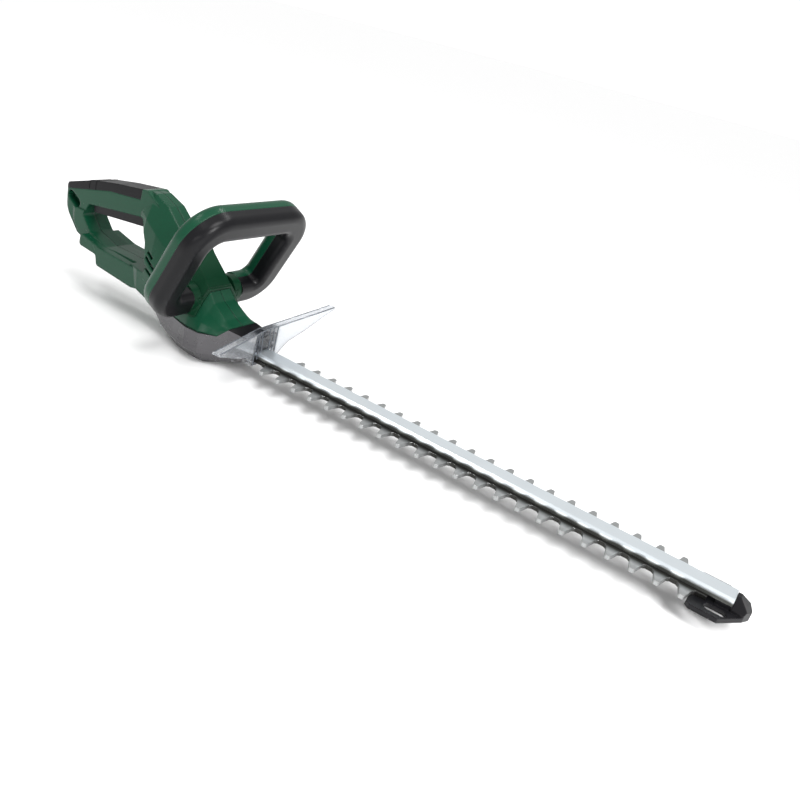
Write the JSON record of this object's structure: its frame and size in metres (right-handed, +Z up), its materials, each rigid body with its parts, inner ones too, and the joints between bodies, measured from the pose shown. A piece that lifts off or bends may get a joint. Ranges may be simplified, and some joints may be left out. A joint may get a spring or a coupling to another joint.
{
  "type": "hedge trimmer",
  "caption": "Cordless hedge trimmer: long double-sided reciprocating blades on a rail, loop front handle, closed rear handle with trigger, and a clear hand guard.",
  "frame": {"origin": "under the middle of the tool's box, on the plane of the gear case's flat belly", "axes": "+X towards the blade tip, +Z up away from the belly, +Y to the left of a user facing the tip"},
  "size_m": [0.98, 0.2244, 0.2082],
  "materials": {
    "housing_green": "satin moulded plastic",
    "saddle_green": "satin moulded plastic",
    "soft_grip": "fine-grained soft grip",
    "black_plastic": "satin moulded plastic",
    "dark_alloy": "dark grey metallic paint",
    "clear_guard": "clear moulded plastic",
    "screw_steel": "zinc plated",
    "rail_aluminium": "anodised",
    "blade_steel": "ground",
    "machined_steel": "machined",
    "contact_brass": "plated",
    "board_green": "lacquered",
    "lead_cover": "plain",
    "felt": "felt"
  },
  "bodies": {
    "root": {"housing_left": "housing_green", "housing_right": "housing_green", "housing_screws": "screw_steel", "rear_grip": "soft_grip", "gear_housing": "dark_alloy", "gear_cover": "dark_alloy", "cover_screws": "screw_steel", "nose_cover": "black_plastic", "gearbox_plate": "dark_alloy", "gearbox_screws": "screw_steel", "crank_bearings": "machined_steel", "motor_can": "machined_steel", "motor_magnets": "black_plastic", "motor_screws": "screw_steel", "blade_rail": "rail_aluminium", "blade_screws": "blade_steel", "rail_screws": "screw_steel", "rail_nuts": "screw_steel", "tip_protector": "black_plastic", "tip_screw": "screw_steel", "blade_seal": "felt", "hand_guard": "clear_guard", "guard_screws": "screw_steel", "handle_front_shell": "black_plastic", "handle_rear_shell": "housing_green", "handle_screws": "screw_steel", "handle_saddle": "saddle_green", "handle_bolts": "screw_steel", "front_switch_springs": "machined_steel", "front_switch": "black_plastic", "trigger_pin": "screw_steel", "trigger_spring": "machined_steel", "trigger_switch": "black_plastic", "terminal_block": "black_plastic", "battery_contacts": "contact_brass", "control_board": "board_green", "battery_leads": "lead_cover", "motor_leads": "lead_cover"},
    "trigger": {"rear_trigger": "black_plastic"},
    "front_bar": {"front_switch_bar": "black_plastic"},
    "blade_upper": {"upper_blade": "blade_steel"},
    "blade_lower": {"lower_blade": "blade_steel"},
    "crank": {"crank_gear": "machined_steel", "crank_shaft": "machined_steel", "crank_eccentrics": "machined_steel"},
    "rotor": {"motor_shaft": "machined_steel", "motor_pinion": "machined_steel", "motor_armature": "machined_steel", "cooling_fan": "black_plastic"}
  },
  "joints": [
    {"name": "trigger_pull", "type": "hinge", "parent": "root", "child": "trigger", "pos_m": [-0.426, 0, 0.128], "axis": [0, -1, 0], "range_deg": [0, 4.4], "stiffness_Nm_per_rad": 2, "springref_deg": -5.73, "deforming": ["trigger_spring"]},
    {"name": "front_bar_press", "type": "slide", "parent": "root", "child": "front_bar", "axis": [0.4384, 0, 0.8988], "range_m": [0, 0.003], "stiffness_N_per_m": 800, "springref_m": -0.003, "deforming": ["front_switch_springs"]},
    {"name": "upper_blade_slide", "type": "slide", "parent": "root", "child": "blade_upper", "axis": [1, 0, 0], "range_m": [-0.006, 0.006]},
    {"name": "lower_blade_slide", "type": "slide", "parent": "root", "child": "blade_lower", "axis": [1, 0, 0], "range_m": [-0.006, 0.006]},
    {"name": "crank_spin", "type": "hinge", "parent": "root", "child": "crank", "pos_m": [-0.204, 0, 0.035], "axis": [0, 0, 1], "continuous": true},
    {"name": "rotor_spin", "type": "hinge", "parent": "root", "child": "rotor", "pos_m": [-0.249, 0, 0.067], "axis": [0, 0, 1], "continuous": true}
  ],
  "couplings": [
    {"joint": "lower_blade_slide", "follows": "upper_blade_slide", "ratio": -1},
    {"joint": "rotor_spin", "follows": "crank_spin", "ratio": -4}
  ]
}
